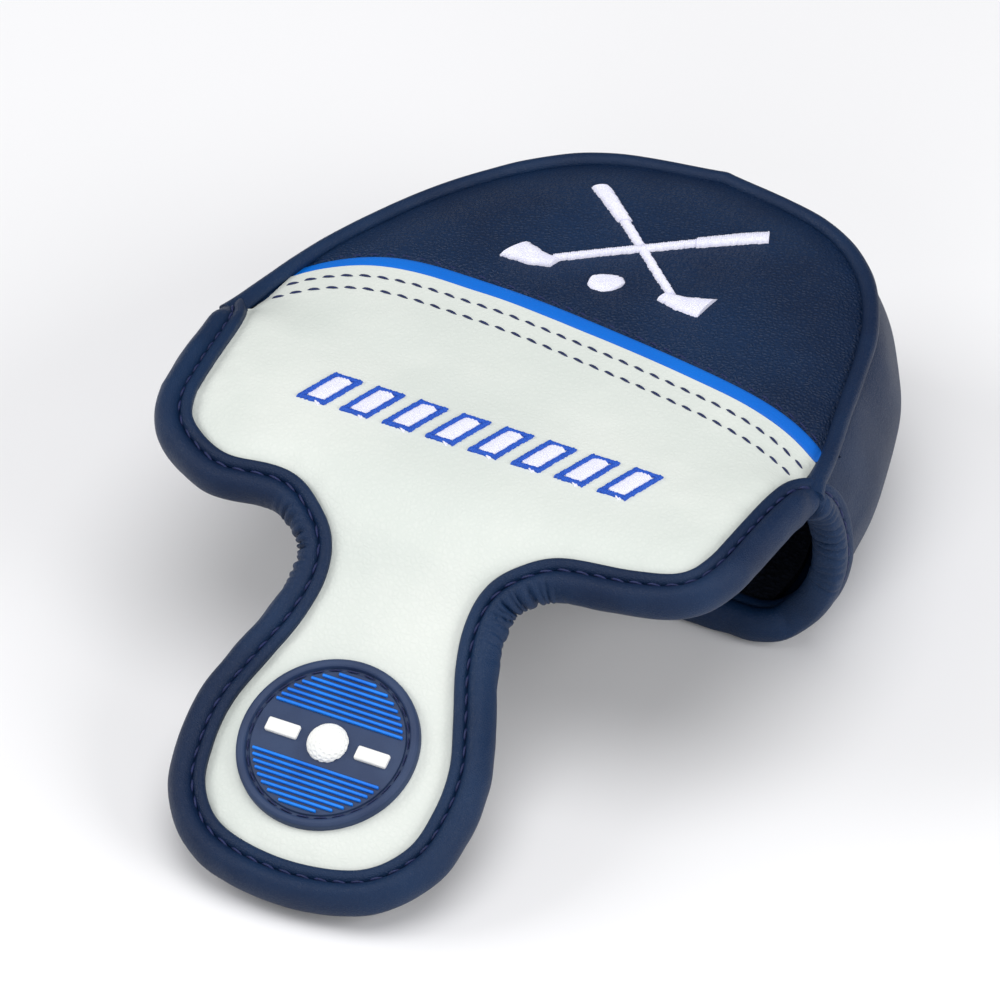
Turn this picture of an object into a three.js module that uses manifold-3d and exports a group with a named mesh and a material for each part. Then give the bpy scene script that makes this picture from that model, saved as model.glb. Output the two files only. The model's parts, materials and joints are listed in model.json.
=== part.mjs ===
// Mallet putter head cover: a padded D-shaped pouch, a flap that folds down over the putter's face,
// and a magnetic tongue that tucks under the sole.
// Millimetres, +Z up, +Y towards the closed rear of the pouch. The cover lies open on its flat underside,
// with the tongue's tip on the same surface.
import * as THREE from 'three';
import { mergeVertices } from 'three/addons/utils/BufferGeometryUtils.js';
import Module from 'manifold-3d';

const wasm = await Module();
wasm.setup();

// ---- driving dimensions -------------------------------------------------------------------------
const GAP = 0.3;                 // clearance between layers that are glued or sewn together
const POUCH_HEIGHT = 45;         // table to the top seam
const POUCH_DEPTH = 78.6;        // mouth line to the rear of the top seam
const MOUTH_HALF_WIDTH = 58.6;
const WALL_BULGE = 5.4;          // how far the padded wall swells past its seams
const CROWN_RISE = 3.2;          // camber of the top panel across its width
const PIPING_RADIUS = 1.5;
const LEATHER = 1.2;
const TOP_FOAM = 3;
const WALL_FOAM = 3.4;
const SOLE_FOAM = 3.2;
const LINING = 1.4;              // knitted pile
const FLAP_FOAM = 2.6;
const STRIPE_WIDTH = 3.2;
const BINDING_THICKNESS = 7.2;   // padded edge roll of the flap and tongue
const FRONT_BINDING_THICKNESS = 7.6; // padded edge roll round the mouth
const BADGE_RADIUS = 17.4;
const BADGE_THICKNESS = 1.4;
const MAGNET_RADIUS = 8;
const MAGNET_THICKNESS = 1.6;
const MOUTH_LINE = 13.6;         // the mouth line's place behind the frame's origin, the middle of the footprint

// Skin of the flap and tongue seen from the side: y from the mouth line, and height.
const SKIN = [
  [-112, 6.6], [-102, 9.6], [-84, 17.6], [-66, 26.4], [-54, 34], [-44, 42.6], [-34, 47], [-20, 48.2], [-6, 47.7], [6, 47.5],
];
const FLAP_FOLD = { y: -6, z: 47.7, closing: 72, lifting: 60 };
const TONGUE_FOLD = { y: -60, z: 29.9, closing: 79 };

// Half outlines seen from above: half width, then y from the mouth line.
const POUCH_OUTLINE = [
  [MOUTH_HALF_WIDTH, 0], [56.8, 17], [51.8, 34], [45.2, 50], [34.6, 64.6], [21, 73.6], [0, POUCH_DEPTH],
];
const WHITE_OUTLINE = [
  [58, 4], [56.6, -10], [56, -22], [54.4, -30.5], [50.5, -35.3], [42, -37.6], [28, -39.6], [20, -43.6], [15.2, -48],
  [13.8, -54], [15, -61], [18.6, -70], [21.4, -78], [21.8, -86], [19.4, -93.5], [12.4, -100.4], [0, -103.4],
];
const BINDING_OUTLINE = [
  [62.5, 4], [64.2, -10], [64.4, -22], [63.2, -34], [58, -42], [47, -45.6], [33, -47.4], [26.5, -50.5],
  [23.9, -55], [25.2, -62], [28.6, -71], [30.6, -80], [30.2, -88], [26.6, -97.5], [17.4, -107], [0, -111.2],
];
const STRIPE_LINE = [[-72, -2], [-56, 13.6], [-40, 20.2], [-20, 20.4], [0, 18.8], [40, 13], [58, 7.2], [72, -2]];

// ---- finishes -----------------------------------------------------------------------------------
const finish = (color, roughness, metalness = 0) => new THREE.MeshStandardMaterial({ color, roughness, metalness });
const navyLeather = finish(0x14243f, 0.5);
const whiteLeather = finish(0xe0e5e1, 0.55);
const blueLeather = finish(0x0669d7, 0.45);
const foam = finish(0xb9b4a6, 0.95);
const pile = finish(0x1b2230, 0.98);
const thread = finish(0x1d4fb8, 0.6);
const whiteThread = finish(0xe6e6f5, 0.6);
const badgeRubber = finish(0x28395c, 0.6);
const blueRubber = finish(0x1478eb, 0.55);
const whiteRubber = finish(0xebebe8, 0.55);
const magnetSteel = finish(0x9a9da1, 0.3, 1);

// ---- solids -------------------------------------------------------------------------------------
// A closed three.js geometry as a solid that can be cut and joined.
function solid(geometry) {
  const bare = geometry.index ? geometry.toNonIndexed() : geometry.clone();
  bare.deleteAttribute('normal');
  bare.deleteAttribute('uv');
  const merged = mergeVertices(bare, 1e-4);
  const mesh = new wasm.Mesh({
    numProp: 3,
    vertProperties: new Float32Array(merged.attributes.position.array),
    triVerts: new Uint32Array(merged.index.array),
  });
  return new wasm.Manifold(mesh);
}

function geometryOf(body) {
  const mesh = body.getMesh();
  const geometry = new THREE.BufferGeometry();
  geometry.setAttribute('position', new THREE.BufferAttribute(new Float32Array(mesh.vertProperties), 3));
  geometry.setIndex(new THREE.BufferAttribute(new Uint32Array(mesh.triVerts), 1));
  return geometry;
}

const cover = new THREE.Group();
cover.position.y = MOUTH_LINE;

function piece(name, body, material) {
  const mesh = new THREE.Mesh(geometryOf(body), material);
  mesh.name = name;
  cover.add(mesh);
}

// ---- outlines -----------------------------------------------------------------------------------
const toVectors = (points) => points.map(([x, y]) => new THREE.Vector2(x, y));

// Smooth points along an open run of points.
function smooth(points, count) {
  return new THREE.SplineCurve(toVectors(points)).getPoints(count);
}

// The full outline of a half outline that starts at the right side and ends on the centre line.
function bothSides(half, count) {
  const left = half.slice(0, -1).reverse().map(([x, y]) => [-x, y]);
  return smooth([...half, ...left], count);
}

// The outline moved inwards by a distance, its open ends kept on their own line.
function inset(outline, distance) {
  return outline.map((point, i) => {
    const before = outline[Math.max(i - 1, 0)];
    const after = outline[Math.min(i + 1, outline.length - 1)];
    const along = after.clone().sub(before).normalize();
    const atEnd = i === 0 || i === outline.length - 1;
    const inward = atEnd ? new THREE.Vector2(-Math.sign(point.x), 0) : new THREE.Vector2(-along.y, along.x);
    const side = outlineTurn(outline);
    return point.clone().addScaledVector(inward, atEnd ? distance : distance * side);
  });
}

const outlineTurn = (outline) => (THREE.ShapeUtils.area(outline) > 0 ? 1 : -1);

// A plan outline stood up between two heights.
function upright(outline, low, high) {
  const block = new THREE.ExtrudeGeometry(new THREE.Shape(outline), { depth: high - low, bevelEnabled: false });
  return solid(block.translate(0, 0, low));
}

// A side outline of y and z run across the width.
function across(outline, halfWidth) {
  const block = new THREE.ExtrudeGeometry(new THREE.Shape(outline), { depth: 2 * halfWidth, bevelEnabled: false });
  block.translate(0, 0, -halfWidth);
  const turn = new THREE.Matrix4().makeBasis(
    new THREE.Vector3(0, 1, 0),
    new THREE.Vector3(0, 0, 1),
    new THREE.Vector3(1, 0, 0),
  );
  return solid(block.applyMatrix4(turn));
}

// A front outline of x and z run from one y to another.
function lengthwise(outline, from, to) {
  const block = new THREE.ExtrudeGeometry(new THREE.Shape(outline), { depth: to - from, bevelEnabled: false });
  return solid(block.rotateX(Math.PI / 2).translate(0, to, 0));
}

// ---- layers of the flap and tongue, which follow one bent skin ------------------------------------
const WIDE = 80;
const skinLine = smooth(SKIN, 44);

function skinAt(y) {
  const i = skinLine.findIndex((point) => point.x >= y);
  const [a, b] = [skinLine[i - 1], skinLine[i]];
  const height = a.y + ((b.y - a.y) * (y - a.x)) / (b.x - a.x);
  const along = b.clone().sub(a).normalize();
  return { y, z: height, tilt: Math.atan2(along.y, along.x) };
}

// The skin line moved down, into the padding, by a depth.
function deeper(depth) {
  return skinLine.map((point, i) => {
    const before = skinLine[Math.max(i - 1, 0)];
    const after = skinLine[Math.min(i + 1, skinLine.length - 1)];
    const along = after.clone().sub(before).normalize();
    return new THREE.Vector2(point.x + along.y * depth, point.y - along.x * depth);
  });
}

const layer = (top, bottom) => across([...deeper(top), ...deeper(bottom).reverse()], WIDE);

// The V that a fold needs in the padding under the skin, with its point just above the skin.
function foldNotch(fold, openTo, tilt) {
  const half = THREE.MathUtils.degToRad(openTo / 2 + 2);
  const apex = new THREE.Vector2(fold.y, fold.z).addScaledVector(new THREE.Vector2(-Math.sin(tilt), Math.cos(tilt)), 1);
  const reach = 30;
  const arm = (angle) => apex.clone().add(new THREE.Vector2(Math.sin(angle), -Math.cos(angle)).multiplyScalar(reach));
  return across([apex, arm(tilt - half), arm(tilt + half)], WIDE + 5);
}

const flapNotch = foldNotch(FLAP_FOLD, FLAP_FOLD.closing, 0);
const tongueTilt = skinAt(TONGUE_FOLD.y).tilt;
const tongueNotch = foldNotch(TONGUE_FOLD, TONGUE_FOLD.closing, tongueTilt);

// The space on one side of a fold, split by the plane that halves the notch.
function sideOfFold(fold, tilt, frontSide) {
  const edge = new THREE.Vector2(-Math.sin(tilt), Math.cos(tilt));
  const away = new THREE.Vector2(Math.cos(tilt), Math.sin(tilt)).multiplyScalar(frontSide ? -140 : 140);
  const foot = new THREE.Vector2(fold.y, fold.z).addScaledVector(edge, -90);
  const head = new THREE.Vector2(fold.y, fold.z).addScaledVector(edge, 90);
  return across([foot, head, head.clone().add(away), foot.clone().add(away)], WIDE + 10);
}

const beforeFlapFold = sideOfFold(FLAP_FOLD, 0, true);
const behindFlapFold = sideOfFold(FLAP_FOLD, 0, false);
const beforeTongueFold = sideOfFold(TONGUE_FOLD, tongueTilt, true);
const behindTongueFold = sideOfFold(TONGUE_FOLD, tongueTilt, false);

const flapPart = (body) => body.subtract(flapNotch).subtract(tongueNotch).intersect(beforeFlapFold).intersect(behindTongueFold);
const tonguePart = (body) => body.subtract(tongueNotch).intersect(beforeTongueFold);

// ---- pouch ----------------------------------------------------------------------------------------
const pouchOutline = bothSides(POUCH_OUTLINE, 40);

// Height of the top's arc across the width, as a front outline between two depths.
function camber(top, bottom, halfWidth) {
  const arc = (drop) => Array.from({ length: 13 }, (_, i) => {
    const x = (i / 6 - 1) * halfWidth;
    return new THREE.Vector2(x, POUCH_HEIGHT + CROWN_RISE * (1 - (x / MOUTH_HALF_WIDTH) ** 2) - drop);
  });
  return lengthwise([...arc(bottom), ...arc(top).reverse()], FLAP_FOLD.y - 2, POUCH_DEPTH + 10);
}

const stripeLine = (shift) => smooth(STRIPE_LINE, 24).map((point) => new THREE.Vector2(point.x, point.y + shift));
const behindLine = (shift) => upright([...stripeLine(shift), new THREE.Vector2(72, 100), new THREE.Vector2(-72, 100)], 0, 70);
const aheadOfLine = (shift) => upright([...stripeLine(shift).reverse(), new THREE.Vector2(-72, -40), new THREE.Vector2(72, -40)], 0, 70);

// Everything behind the mouth line inside the pouch outline, plus the strip ahead that the fold belongs to.
const lipHalf = MOUTH_HALF_WIDTH - 1.2;
const lipFront = FLAP_FOLD.y - 1;
const lip = upright(toVectors([[-lipHalf, lipFront], [lipHalf, lipFront], [lipHalf, 1], [-lipHalf, 1]]), 30, 70);
const topArea = (gap) => upright(inset(pouchOutline, gap), 20, 70).add(lip).subtract(flapNotch).intersect(behindFlapFold);
const topSkin = camber(0, LEATHER, 75).intersect(topArea(0.4));

piece('crown_panel', topSkin.intersect(behindLine(STRIPE_WIDTH)), navyLeather);
piece('accent_stripe', topSkin.intersect(behindLine(GAP)).intersect(aheadOfLine(STRIPE_WIDTH - GAP)), blueLeather);
piece('top_white_panel', topSkin.intersect(aheadOfLine(0)), whiteLeather);

let depth = LEATHER + GAP;
piece('top_foam', camber(depth, depth + TOP_FOAM, 75).intersect(topArea(2.4)), foam);
depth += TOP_FOAM + GAP;
piece('top_lining', camber(depth, depth + LINING, 75).intersect(topArea(8.4)), pile);

// The wall stands between the seams. Its layers are one upright section swept round the outline.
const WALL_TOP = POUCH_HEIGHT - PIPING_RADIUS * 2 - GAP;
const WALL_BOTTOM = LEATHER + GAP;
const WALL_PADDING_TOP = POUCH_HEIGHT - LEATHER - TOP_FOAM - 3 * GAP;

function wallSection(outer, thickness, top) {
  const swell = (z) => WALL_BULGE * Math.sin((Math.PI * (z - WALL_BOTTOM)) / (WALL_TOP - WALL_BOTTOM));
  const heights = Array.from({ length: 7 }, (_, i) => WALL_BOTTOM + ((top - WALL_BOTTOM) * i) / 6);
  const face = (offset) => heights.map((z) => new THREE.Vector2(-z, offset - swell(z)));
  return new THREE.Shape([...face(outer + thickness), ...face(outer).reverse()]);
}

const planCurve = (outline) => new THREE.CatmullRomCurve3(outline.map((point) => new THREE.Vector3(point.x, point.y, 0)));
const sweep = (section, curve, steps) => solid(new THREE.ExtrudeGeometry(section, { extrudePath: curve, steps }));

const wallLine = bothSides([[MOUTH_HALF_WIDTH, 8.6], ...POUCH_OUTLINE.slice(1)], 40);
const wallCurve = planCurve(wallLine);
let inward = 0;
piece('side_wall', sweep(wallSection(inward, LEATHER, WALL_TOP), wallCurve, 30), navyLeather);
inward += LEATHER + GAP;
piece('wall_foam', sweep(wallSection(inward, WALL_FOAM, WALL_PADDING_TOP), wallCurve, 30), foam);
inward += WALL_FOAM + GAP;
piece('wall_lining', sweep(wallSection(inward, LINING, WALL_PADDING_TOP), wallCurve, 30), pile);

// Piping: a leather tube sewn over a cord, in the seam between the top and the wall.
const ring = (radius, sides) => Array.from({ length: sides }, (_, i) => {
  const angle = (i / sides) * 2 * Math.PI;
  return new THREE.Vector2(Math.cos(angle) * radius, Math.sin(angle) * radius);
});
const pipingCurve = planCurve(inset(bothSides([[MOUTH_HALF_WIDTH, 1.5], ...POUCH_OUTLINE.slice(1)], 40), -1.5));
const pipingTube = new THREE.Shape(ring(PIPING_RADIUS, 8));
pipingTube.holes.push(new THREE.Path(ring(PIPING_RADIUS * 0.6, 8).reverse()));
const pipingHeight = POUCH_HEIGHT - PIPING_RADIUS - 0.2;
const pipingCord = new THREE.Shape(ring(PIPING_RADIUS * 0.38, 6));
piece('top_piping', sweep(pipingTube, pipingCurve, 36).translate([0, 0, pipingHeight]), navyLeather);
piece('piping_cord', sweep(pipingCord, pipingCurve, 36).translate([0, 0, pipingHeight]), foam);

// Sole: leather, foam, lining, the catch plate in the foam, and a stitched patch that marks it.
const soleOutline = bothSides([[MOUTH_HALF_WIDTH - 3, 6], ...POUCH_OUTLINE.slice(1)], 40);
const catchSpot = [0, 17];
const disc = (radius, thickness, y, z) => solid(
  new THREE.CylinderGeometry(radius, radius, thickness, 28).rotateX(Math.PI / 2).translate(0, y, z + thickness / 2),
);
piece('sole_panel', upright(inset(soleOutline, 0.6), 0, LEATHER), navyLeather);
const soleFoamBottom = LEATHER + GAP;
const platePocket = disc(MAGNET_RADIUS + GAP, SOLE_FOAM + 2, catchSpot[1], soleFoamBottom - 1);
piece('sole_foam', upright(inset(soleOutline, 7.4), soleFoamBottom, soleFoamBottom + SOLE_FOAM).subtract(platePocket), foam);
piece('catch_plate', disc(MAGNET_RADIUS, MAGNET_THICKNESS, catchSpot[1], soleFoamBottom + 0.4), magnetSteel);
const soleLiningBottom = soleFoamBottom + SOLE_FOAM + GAP;
piece('sole_lining', upright(inset(soleOutline, 9.4), soleLiningBottom, soleLiningBottom + LINING), pile);

// Mouth binding: a padded roll down one side of the mouth, along the sole's front edge, and up the other side.
const MOUTH_BACK = 7.2;
const mouthOuter = [
  [62.2, POUCH_HEIGHT - 5.5], [64.8, 30], [63, 14], [57.4, 4], [50, 0.8], [25, 0.3], [0, 0.3],
];
const mouthRoll = bothSides(mouthOuter, 36);
const mouthInner = inset(mouthRoll, FRONT_BINDING_THICKNESS);
const mouthFrame = lengthwise([...mouthRoll, ...mouthInner.reverse()], -0.6, MOUTH_BACK);
const keepClear = upright(inset(soleOutline, 0), -1, soleLiningBottom + LINING + GAP)
  .subtract(upright(toVectors([[-80, -20], [80, -20], [80, 5.6], [-80, 5.6]]), -5, 60));
piece('mouth_binding', mouthFrame.subtract(keepClear), navyLeather);

// ---- flap -------------------------------------------------------------------------------------------
const whiteOutline = bothSides(WHITE_OUTLINE, 76);
const bindingOutline = bothSides(BINDING_OUTLINE, 72);
const whiteArea = upright(whiteOutline, -20, 80);
const padArea = upright(inset(whiteOutline, 0.4), -20, 80);
const rollArea = upright(bindingOutline, -20, 80);

let below = 0;
const skinLayer = layer(below, LEATHER).intersect(padArea);
below += LEATHER + GAP;
const foamLayer = layer(below, below + FLAP_FOAM).intersect(padArea);
below += FLAP_FOAM + GAP;
const liningLayer = layer(below, below + LINING).intersect(padArea);
const rollLayer = layer(0.2, BINDING_THICKNESS - 0.6).intersect(rollArea).subtract(whiteArea);

piece('flap_panel', flapPart(skinLayer), whiteLeather);
piece('flap_foam', flapPart(foamLayer), foam);
piece('flap_lining', flapPart(liningLayer), pile);
const half = (side) => upright(toVectors([[0, -140], [side * 90, -140], [side * 90, 60], [0, 60]]), -20, 90);
piece('flap_binding_right', flapPart(rollLayer).intersect(half(1)), navyLeather);
piece('flap_binding_left', flapPart(rollLayer).intersect(half(-1)), navyLeather);

// ---- tongue -----------------------------------------------------------------------------------------
const badgeSpot = skinAt(-80.7);
// A body made flat at the origin, laid on the skin at a spot, a little above it.
function laidOn(body, spot, lift) {
  return body.rotate([THREE.MathUtils.radToDeg(spot.tilt), 0, 0])
    .translate([0, spot.y - Math.sin(spot.tilt) * lift, spot.z + Math.cos(spot.tilt) * lift]);
}

const flat = (outline, low, high) => upright(outline, low, high);
const magnetPocket = laidOn(disc(MAGNET_RADIUS + GAP, 12, 0, -9), badgeSpot, -LEATHER);
const magnetDepth = -(LEATHER + GAP + 0.3 + MAGNET_THICKNESS);
piece('tongue_panel', tonguePart(skinLayer), whiteLeather);
piece('tongue_foam', tonguePart(foamLayer).subtract(magnetPocket), foam);
piece('tongue_lining', tonguePart(liningLayer), pile);
piece('tongue_binding', tonguePart(rollLayer), navyLeather);
piece('tongue_magnet', laidOn(disc(MAGNET_RADIUS, MAGNET_THICKNESS, 0, 0), badgeSpot, magnetDepth), magnetSteel);

// Badge: a moulded disc with a raised rim, ribbed fields above and below a plain band, and a ball motif.
const BADGE_LIFT = 0.5;
const rimInner = BADGE_RADIUS - 1.7;
const badgeBase = disc(BADGE_RADIUS, BADGE_THICKNESS + 0.6, 0, 0)
  .subtract(disc(rimInner, 2, 0, BADGE_THICKNESS));
piece('badge', laidOn(badgeBase, badgeSpot, BADGE_LIFT), badgeRubber);

const RIB_PITCH = 1.2;
const ribTop = BADGE_THICKNESS + GAP;
for (const [name, side] of [['badge_ribs_upper', 1], ['badge_ribs_lower', -1]]) {
  let ribs = upright(toVectors([[-4, side * 6], [4, side * 6], [4, side * 14.4], [-4, side * 14.4]]), ribTop, ribTop + 0.2);
  for (let i = 0; i < 8; i += 1) {
    const y = side * (6 + i * RIB_PITCH);
    const reach = Math.sqrt((rimInner - 1) ** 2 - y ** 2);
    const rib = [[-reach, y - 0.35], [reach, y - 0.35], [reach, y + 0.35], [-reach, y + 0.35]];
    ribs = ribs.add(upright(toVectors(rib), ribTop, ribTop + 0.5));
  }
  piece(name, laidOn(ribs, badgeSpot, BADGE_LIFT), blueRubber);
}
piece('badge_ball', laidOn(disc(4, 0.8, 0, ribTop), badgeSpot, BADGE_LIFT), whiteRubber);
for (const [name, side] of [['badge_bar_left', -1], ['badge_bar_right', 1]]) {
  const bar = [[side * 6, -1.4], [side * 12.6, -1.4], [side * 12.6, 1.4], [side * 6, 1.4]];
  piece(name, laidOn(flat(toVectors(bar), ribTop, ribTop + 0.8), badgeSpot, BADGE_LIFT), whiteRubber);
}

// ---- embroidery ---------------------------------------------------------------------------------------
const EMBROIDERY = 0.6;
const EMBLEM = { y: 46, reach: 24, shaft: 1.1 };
const emblemHeight = POUCH_HEIGHT + CROWN_RISE + GAP;

// Crossed clubs over a ball, embroidered as one satin-stitched patch.
function club(side) {
  const rod = new THREE.BoxGeometry(2 * EMBLEM.reach, 2 * EMBLEM.shaft, EMBROIDERY);
  const head = new THREE.BoxGeometry(7, 4.4, EMBROIDERY).translate(-side * (EMBLEM.reach - 2), -3, 0);
  return solid(rod).add(solid(head)).rotate([0, 0, side * 31]);
}
const emblem = club(1).add(club(-1)).add(disc(3.6, EMBROIDERY, 0, -EMBROIDERY / 2).translate([0, -10, 0]))
  .add(solid(new THREE.BoxGeometry(1.6, 10, EMBROIDERY).translate(0, -5, 0)));
piece('crown_emblem', emblem.translate([0, EMBLEM.y, emblemHeight + EMBROIDERY / 2]), whiteThread);

// A row of slanted bars across the flap, joined by a running thread.
const ROW = { y: -18.6, half: 37, count: 8, height: 10, slant: 3.2, bar: 6.2 };
const rowSpot = skinAt(ROW.y);
let row = flat(toVectors([[-ROW.half, -0.6], [ROW.half, -0.6], [ROW.half, 0.6], [-ROW.half, 0.6]]), 0, EMBROIDERY);
for (let i = 0; i < ROW.count; i += 1) {
  const x = -ROW.half + ROW.bar / 2 + (i * (2 * ROW.half - ROW.bar)) / (ROW.count - 1);
  const [w, h] = [ROW.bar / 2, ROW.height / 2];
  const bar = [[x - w - ROW.slant / 2, -h], [x + w - ROW.slant / 2, -h], [x + w + ROW.slant / 2, h], [x - w + ROW.slant / 2, h]];
  row = row.add(flat(toVectors(bar), 0, EMBROIDERY));
}
piece('flap_embroidery', laidOn(row, rowSpot, GAP + 0.2), thread);

export default cover;
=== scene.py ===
# Mallet putter head cover: the soft pieces, stitches, embroidery and badge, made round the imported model.
import json
import math

import bmesh
import bpy
import numpy as np
from mathutils import Matrix, Vector, noise


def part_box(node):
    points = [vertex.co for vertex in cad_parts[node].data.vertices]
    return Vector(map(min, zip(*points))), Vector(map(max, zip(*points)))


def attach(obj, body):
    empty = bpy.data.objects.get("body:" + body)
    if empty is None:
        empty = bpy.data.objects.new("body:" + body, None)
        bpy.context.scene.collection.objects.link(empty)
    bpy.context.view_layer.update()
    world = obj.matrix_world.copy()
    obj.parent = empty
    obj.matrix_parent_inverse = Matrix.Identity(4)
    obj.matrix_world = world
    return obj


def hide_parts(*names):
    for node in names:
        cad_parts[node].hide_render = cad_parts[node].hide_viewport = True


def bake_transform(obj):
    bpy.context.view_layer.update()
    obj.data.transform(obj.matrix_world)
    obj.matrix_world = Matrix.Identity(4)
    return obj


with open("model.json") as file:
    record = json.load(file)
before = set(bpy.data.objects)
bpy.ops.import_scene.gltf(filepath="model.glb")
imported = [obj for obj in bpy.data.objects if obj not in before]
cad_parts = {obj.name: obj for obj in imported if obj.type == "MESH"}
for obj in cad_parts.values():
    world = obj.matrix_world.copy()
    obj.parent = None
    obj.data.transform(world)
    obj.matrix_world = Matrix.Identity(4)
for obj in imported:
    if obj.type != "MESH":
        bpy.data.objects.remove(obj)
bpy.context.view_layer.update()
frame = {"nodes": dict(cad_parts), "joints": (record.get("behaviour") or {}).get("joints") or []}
joints = {joint["name"]: joint for joint in frame["joints"]}
flap_axis = np.array(joints["flap_fold"]["pos_m"]) * 1000
tongue_axis = np.array(joints["tongue_fold"]["pos_m"]) * 1000
# Every shape below is drawn in millimetres from the mouth line, the pouch's front edge at table height.
MOUTH = np.array([0, flap_axis[1] + 6, 0])


# ---- studio --------------------------------------------------------------------------------------------
# A long lens looks down on the cover from ahead and to the right. The cover lies on pale paper under a soft
# sky and three soft boxes, and a dim white surround lifts the shadows.
def place(millimetres):
    """Millimetres from the mouth line as a point of the frame, in metres."""
    return Vector((np.asarray(millimetres, float) + MOUTH) / 1000)


camera = bpy.data.objects.new("camera", bpy.data.cameras.new("camera"))
bpy.context.scene.collection.objects.link(camera)
bpy.context.scene.camera = camera
camera.data.sensor_width = 36
camera.data.lens = 432
camera.data.clip_start, camera.data.clip_end = 0.1, 20
AZIMUTH = math.radians(26.7)
ELEVATION = math.radians(39.3)
DISTANCE = 2.3077
AIM = (-14.59, 18.74, 0)
level = math.cos(ELEVATION)
sight = Vector((math.sin(AZIMUTH) * level, -math.cos(AZIMUTH) * level, math.sin(ELEVATION)))
camera.location = place(AIM) + sight * DISTANCE
camera.rotation_euler = (-sight).to_track_quat("-Z", "Y").to_euler()


def soft_box(name, position, size, power):
    """A round soft light that faces the cover."""
    light = bpy.data.objects.new(name, bpy.data.lights.new(name, "AREA"))
    bpy.context.scene.collection.objects.link(light)
    light.data.shape = "DISK"
    light.data.size = size
    light.data.energy = power
    light.location = position
    light.rotation_euler = (Vector((0, 0, 0.02)) - light.location).to_track_quat("-Z", "Y").to_euler()


soft_box("sky_panel", (0.1, -0.1, 1.3), 1.2, 9.5)
soft_box("left_panel", (-1.1, -0.35, 0.75), 0.8, 7.5)
soft_box("right_panel", (1.0, -0.1, 0.55), 0.7, 6.5)
soft_box("front_panel", (0.2, -1.2, 0.6), 0.7, 4)
world = bpy.data.worlds.new("studio")
bpy.context.scene.world = world
world.use_nodes = True
world.node_tree.nodes["Background"].inputs["Color"].default_value = (1, 1, 1, 1)
world.node_tree.nodes["Background"].inputs["Strength"].default_value = 0.24
bpy.context.scene.view_settings.view_transform = "Standard"

bpy.ops.mesh.primitive_plane_add(size=14, location=(0, 0, 0))
table = bpy.context.object
table.name = "table"


# ---- leathers ------------------------------------------------------------------------------------------
# Four coated leathers: smooth navy for the bindings, piping, wall and sole, pebbled navy for the crown,
# smooth white for the flap and bright blue for the stripe. Varying and Finish are the shaders' language.
class Varying:
    """A number or colour that varies over a surface, with Python's operators for its maths."""

    def __init__(self, finish, socket):
        self.finish = finish
        self.socket = socket

    def math(self, operation, *others):
        return self.finish.node("ShaderNodeMath", {"operation": operation}, [self, *others])

    def __add__(self, other):
        return self.math("ADD", other)

    def __mul__(self, other):
        return self.math("MULTIPLY", other)

    def __rsub__(self, other):
        return self.finish.node("ShaderNodeMath", {"operation": "SUBTRACT"}, [other, self])

    __radd__ = __add__
    __rmul__ = __mul__

    def between(self, low, high):
        """The number eased from 0, at low or less, to 1, at high or more."""
        return self.finish.node("ShaderNodeMapRange", {"interpolation_type": "SMOOTHSTEP"}, [self, low, high])


class Finish:
    """One material, built node by node around a Principled shader."""

    def __init__(self, name, **fixed):
        self.material = bpy.data.materials.new(name)
        self.material.use_nodes = True
        self.tree = self.material.node_tree
        self.shader = self.tree.nodes["Principled BSDF"]
        self.place = self.node("ShaderNodeTexCoord", {}, [], output="Object")
        for socket, value in fixed.items():
            self.shader.inputs[socket.replace("_", " ")].default_value = value

    def node(self, kind, settings, values, output=0):
        made = self.tree.nodes.new(kind)
        for setting, value in settings.items():
            setattr(made, setting, value)
        sockets = values.items() if isinstance(values, dict) else enumerate(values)
        for key, value in sockets:
            if isinstance(value, Varying):
                self.tree.links.new(value.socket, made.inputs[key])
            else:
                made.inputs[key].default_value = value
        return Varying(self, made.outputs[output])

    def set(self, socket, value):
        self.tree.links.new(value.socket, self.shader.inputs[socket])

    def noise(self, scale, detail=3.0, rough=0.5):
        values = {"Vector": self.place, "Scale": scale, "Detail": detail, "Roughness": rough}
        return self.node("ShaderNodeTexNoise", {}, values)

    def cells(self, scale, feature="DISTANCE_TO_EDGE"):
        return self.node("ShaderNodeTexVoronoi", {"feature": feature}, {"Vector": self.place, "Scale": scale})

    def mix(self, share, first, second):
        values = {0: share, 6: first, 7: second}
        return self.node("ShaderNodeMix", {"data_type": "RGBA"}, values, output=2)

    def bump(self, height, distance, strength=1.0, under=None):
        values = {"Strength": strength, "Distance": distance, "Height": height}
        if under is not None:
            values["Normal"] = under
        return self.node("ShaderNodeBump", {}, values)


def colour(red, green, blue):
    """A 0 to 255 display colour as the linear colour that a shader takes."""
    shares = [channel / 255 for channel in (red, green, blue)]
    linear = [share / 12.92 if share <= 0.04 else ((share + 0.055) / 1.055) ** 2.4 for share in shares]
    return (*linear, 1.0)


def leather(name, dark, light, grain, grain_depth, roughness, crease_depth, shine):
    """Coated leather: a pebble of small cells, broad tonal drift and faint long creases."""
    made = Finish(name, IOR=1.47, Specular_IOR_Level=shine)
    warp = made.noise(90, 2.0)
    drift = made.noise(28, 3.0, 0.55)
    pebble = made.cells(grain)
    fine = made.noise(grain * 1.6, 3.0, 0.6)
    creases = made.noise(160, 4.0, 0.62)
    ridge = pebble.between(0.0, 0.34)
    made.set("Base Color", made.mix(drift.between(0.3, 0.7) * 0.8 + ridge * 0.2, dark, light))
    made.set("Roughness", (1.0 - ridge) * 0.1 + fine * 0.12 + warp * 0.08 + (roughness - 0.1))
    low = made.bump(creases, crease_depth, 0.7)
    made.set("Normal", made.bump(ridge * 0.8 + fine * 0.35, grain_depth, 0.8, under=low))
    return made.material


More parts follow.
